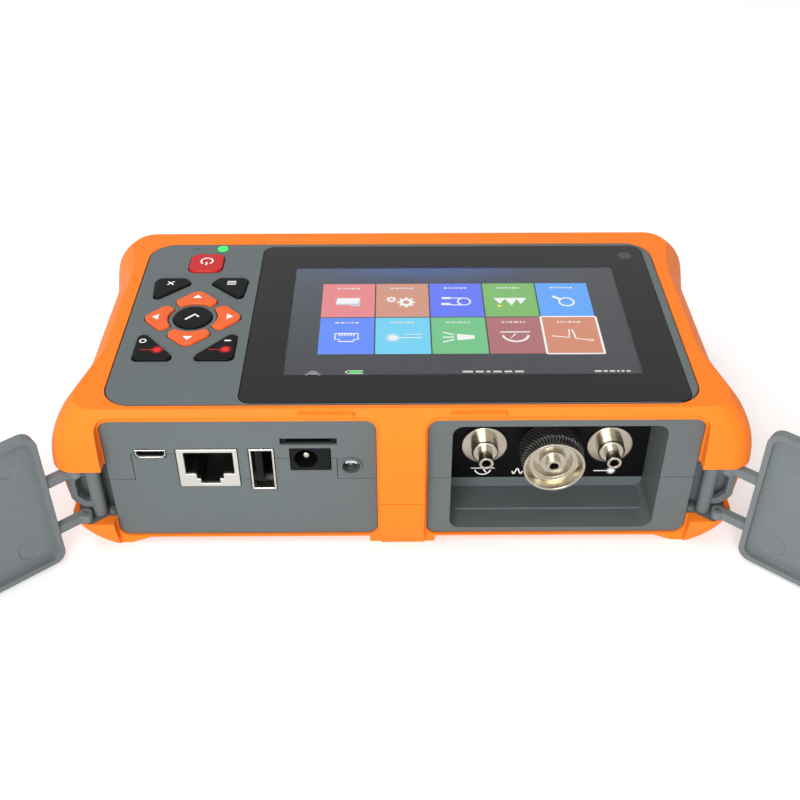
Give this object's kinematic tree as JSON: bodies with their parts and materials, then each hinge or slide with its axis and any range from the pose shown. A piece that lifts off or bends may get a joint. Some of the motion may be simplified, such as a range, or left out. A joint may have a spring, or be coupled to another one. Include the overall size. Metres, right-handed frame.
{
  "type": "optical time domain reflectometer",
  "caption": "Hand-held optical fibre tester in a rubber jacket, with a touch screen, a keypad, a port bay and an optical connector bay behind swing doors.",
  "frame": {"origin": "middle of the rubber crossbar on the back, on the plane that the body lies on", "axes": "+Z out of the screen, +Y away from the connector end, +X to the right seen from the connector end"},
  "size_m": [0.297, 0.1474, 0.0486],
  "materials": {
    "rubber_orange": "moulded orange rubber with a fine satin grain",
    "casing_grey": "moulded blue-grey plastic with a fine spark texture",
    "door_grey": "moulded grey flexible plastic",
    "loop_grey": "moulded grey nylon",
    "screen_glass": "black-backed cover glass, polished",
    "adhesive_black": "black foam tape",
    "display": "lit colour display in a metal frame",
    "flex_amber": "flexible printed cable",
    "silicone_grey": "moulded silicone",
    "board_green": "green solder mask",
    "light_green": "clear light guide, lit green",
    "nickel_shell": "bright nickel-plated sheet",
    "nickel_turned": "turned and nickel-plated brass",
    "gold_contact": "gold-plated spring wire",
    "black_plastic": "moulded black plastic",
    "plate_black": "satin black plate",
    "nut_black": "black anodised, knurled",
    "lens_clear": "clear moulded lens",
    "fibre_yellow": "wound coated fibre",
    "brass_can": "plain brass can",
    "battery_wrap": "blue shrink wrap",
    "screw_steel": "zinc-plated steel",
    "key_red": "red moulded key, satin",
    "key_orange": "orange moulded key, satin",
    "key_black": "black moulded key, satin"
  },
  "bodies": {
    "housing": {"jacket_upper": "rubber_orange", "jacket_lower": "rubber_orange", "casing_upper": "casing_grey", "casing_lower": "casing_grey", "bay_tub": "casing_grey", "touch_glass": "screen_glass", "glass_adhesive": "adhesive_black", "lcd_panel": "display", "display_cable": "flex_amber", "keypad_mat": "silicone_grey", "key_board": "board_green", "status_light": "light_green", "main_board": "board_green", "ethernet_jack": "nickel_shell", "ethernet_contacts": "gold_contact", "usb_a_port": "nickel_shell", "usb_a_tongue": "black_plastic", "micro_usb_port": "nickel_shell", "card_reader": "black_plastic", "power_jack": "black_plastic", "power_jack_pin": "nickel_turned", "torch_led": "lens_clear", "connector_plate": "plate_black", "power_meter_port": "nickel_turned", "fault_laser_port": "nickel_turned", "fibre_port": "nickel_turned", "ferrule_sleeve": "nickel_turned", "optics_module": "nickel_shell", "fibre_spool": "fibre_yellow", "fault_laser": "brass_can", "power_detector": "nickel_turned", "speaker": "black_plastic", "battery_pack": "battery_wrap", "battery_cover": "casing_grey", "battery_cover_screws": "screw_steel", "case_screws": "screw_steel", "board_screws": "screw_steel", "stand_pin": "screw_steel", "door_pins_right": "screw_steel", "door_pins_left": "screw_steel", "strap_loop_pins": "screw_steel"},
    "door_right": {"door_right": "door_grey"},
    "door_left": {"door_left": "door_grey"},
    "loop_right": {"strap_loop_right": "loop_grey"},
    "loop_left": {"strap_loop_left": "loop_grey"},
    "stand": {"stand": "casing_grey"},
    "nut": {"knurled_nut": "nut_black"},
    "key_power": {"key_power": "key_red"},
    "key_escape": {"key_escape": "key_black"},
    "key_setup": {"key_setup": "key_black"},
    "key_select": {"key_select": "key_black"},
    "key_up": {"key_up": "key_orange"},
    "key_left": {"key_left": "key_orange"},
    "key_down": {"key_down": "key_orange"},
    "key_right": {"key_right": "key_orange"},
    "key_auto": {"key_auto": "key_black"},
    "key_mark": {"key_mark": "key_black"}
  },
  "joints": [
    {"name": "door_right_hinge", "type": "hinge", "parent": "housing", "child": "door_right", "pos_m": [0.0862, -0.0479, 0.0232], "axis": [0, 0, -1], "range_deg": [0, 140]},
    {"name": "door_left_hinge", "type": "hinge", "parent": "housing", "child": "door_left", "pos_m": [-0.0862, -0.0479, 0.0232], "axis": [0, 0, 1], "range_deg": [0, 140]},
    {"name": "loop_right_hinge", "type": "hinge", "parent": "housing", "child": "loop_right", "pos_m": [0.0829, -0.045, 0.0196], "axis": [0, 0, -1], "range_deg": [-8, 40]},
    {"name": "loop_left_hinge", "type": "hinge", "parent": "housing", "child": "loop_left", "pos_m": [-0.0829, -0.045, 0.0196], "axis": [0, 0, 1], "range_deg": [-8, 40]},
    {"name": "stand_hinge", "type": "hinge", "parent": "housing", "child": "stand", "pos_m": [0.039, 0.0257, 0.0027], "axis": [1, 0, 0], "range_deg": [0, 60]},
    {"name": "nut_turn", "type": "hinge", "parent": "housing", "child": "nut", "pos_m": [0.0415, -0.0344, 0.0217], "axis": [0, 1, 0], "continuous": true},
    {"name": "key_power_press", "type": "slide", "parent": "housing", "child": "key_power", "axis": [0, 0, -1], "range_m": [0, 0.0007], "stiffness_N_per_m": 900},
    {"name": "key_escape_press", "type": "slide", "parent": "housing", "child": "key_escape", "axis": [0, 0, -1], "range_m": [0, 0.0007], "stiffness_N_per_m": 900},
    {"name": "key_setup_press", "type": "slide", "parent": "housing", "child": "key_setup", "axis": [0, 0, -1], "range_m": [0, 0.0007], "stiffness_N_per_m": 900},
    {"name": "key_select_press", "type": "slide", "parent": "housing", "child": "key_select", "axis": [0, 0, -1], "range_m": [0, 0.0007], "stiffness_N_per_m": 900},
    {"name": "key_up_press", "type": "slide", "parent": "housing", "child": "key_up", "axis": [0, 0, -1], "range_m": [0, 0.0007], "stiffness_N_per_m": 900},
    {"name": "key_left_press", "type": "slide", "parent": "housing", "child": "key_left", "axis": [0, 0, -1], "range_m": [0, 0.0007], "stiffness_N_per_m": 900},
    {"name": "key_down_press", "type": "slide", "parent": "housing", "child": "key_down", "axis": [0, 0, -1], "range_m": [0, 0.0007], "stiffness_N_per_m": 900},
    {"name": "key_right_press", "type": "slide", "parent": "housing", "child": "key_right", "axis": [0, 0, -1], "range_m": [0, 0.0007], "stiffness_N_per_m": 900},
    {"name": "key_auto_press", "type": "slide", "parent": "housing", "child": "key_auto", "axis": [0, 0, -1], "range_m": [0, 0.0007], "stiffness_N_per_m": 900},
    {"name": "key_mark_press", "type": "slide", "parent": "housing", "child": "key_mark", "axis": [0, 0, -1], "range_m": [0, 0.0007], "stiffness_N_per_m": 900}
  ]
}
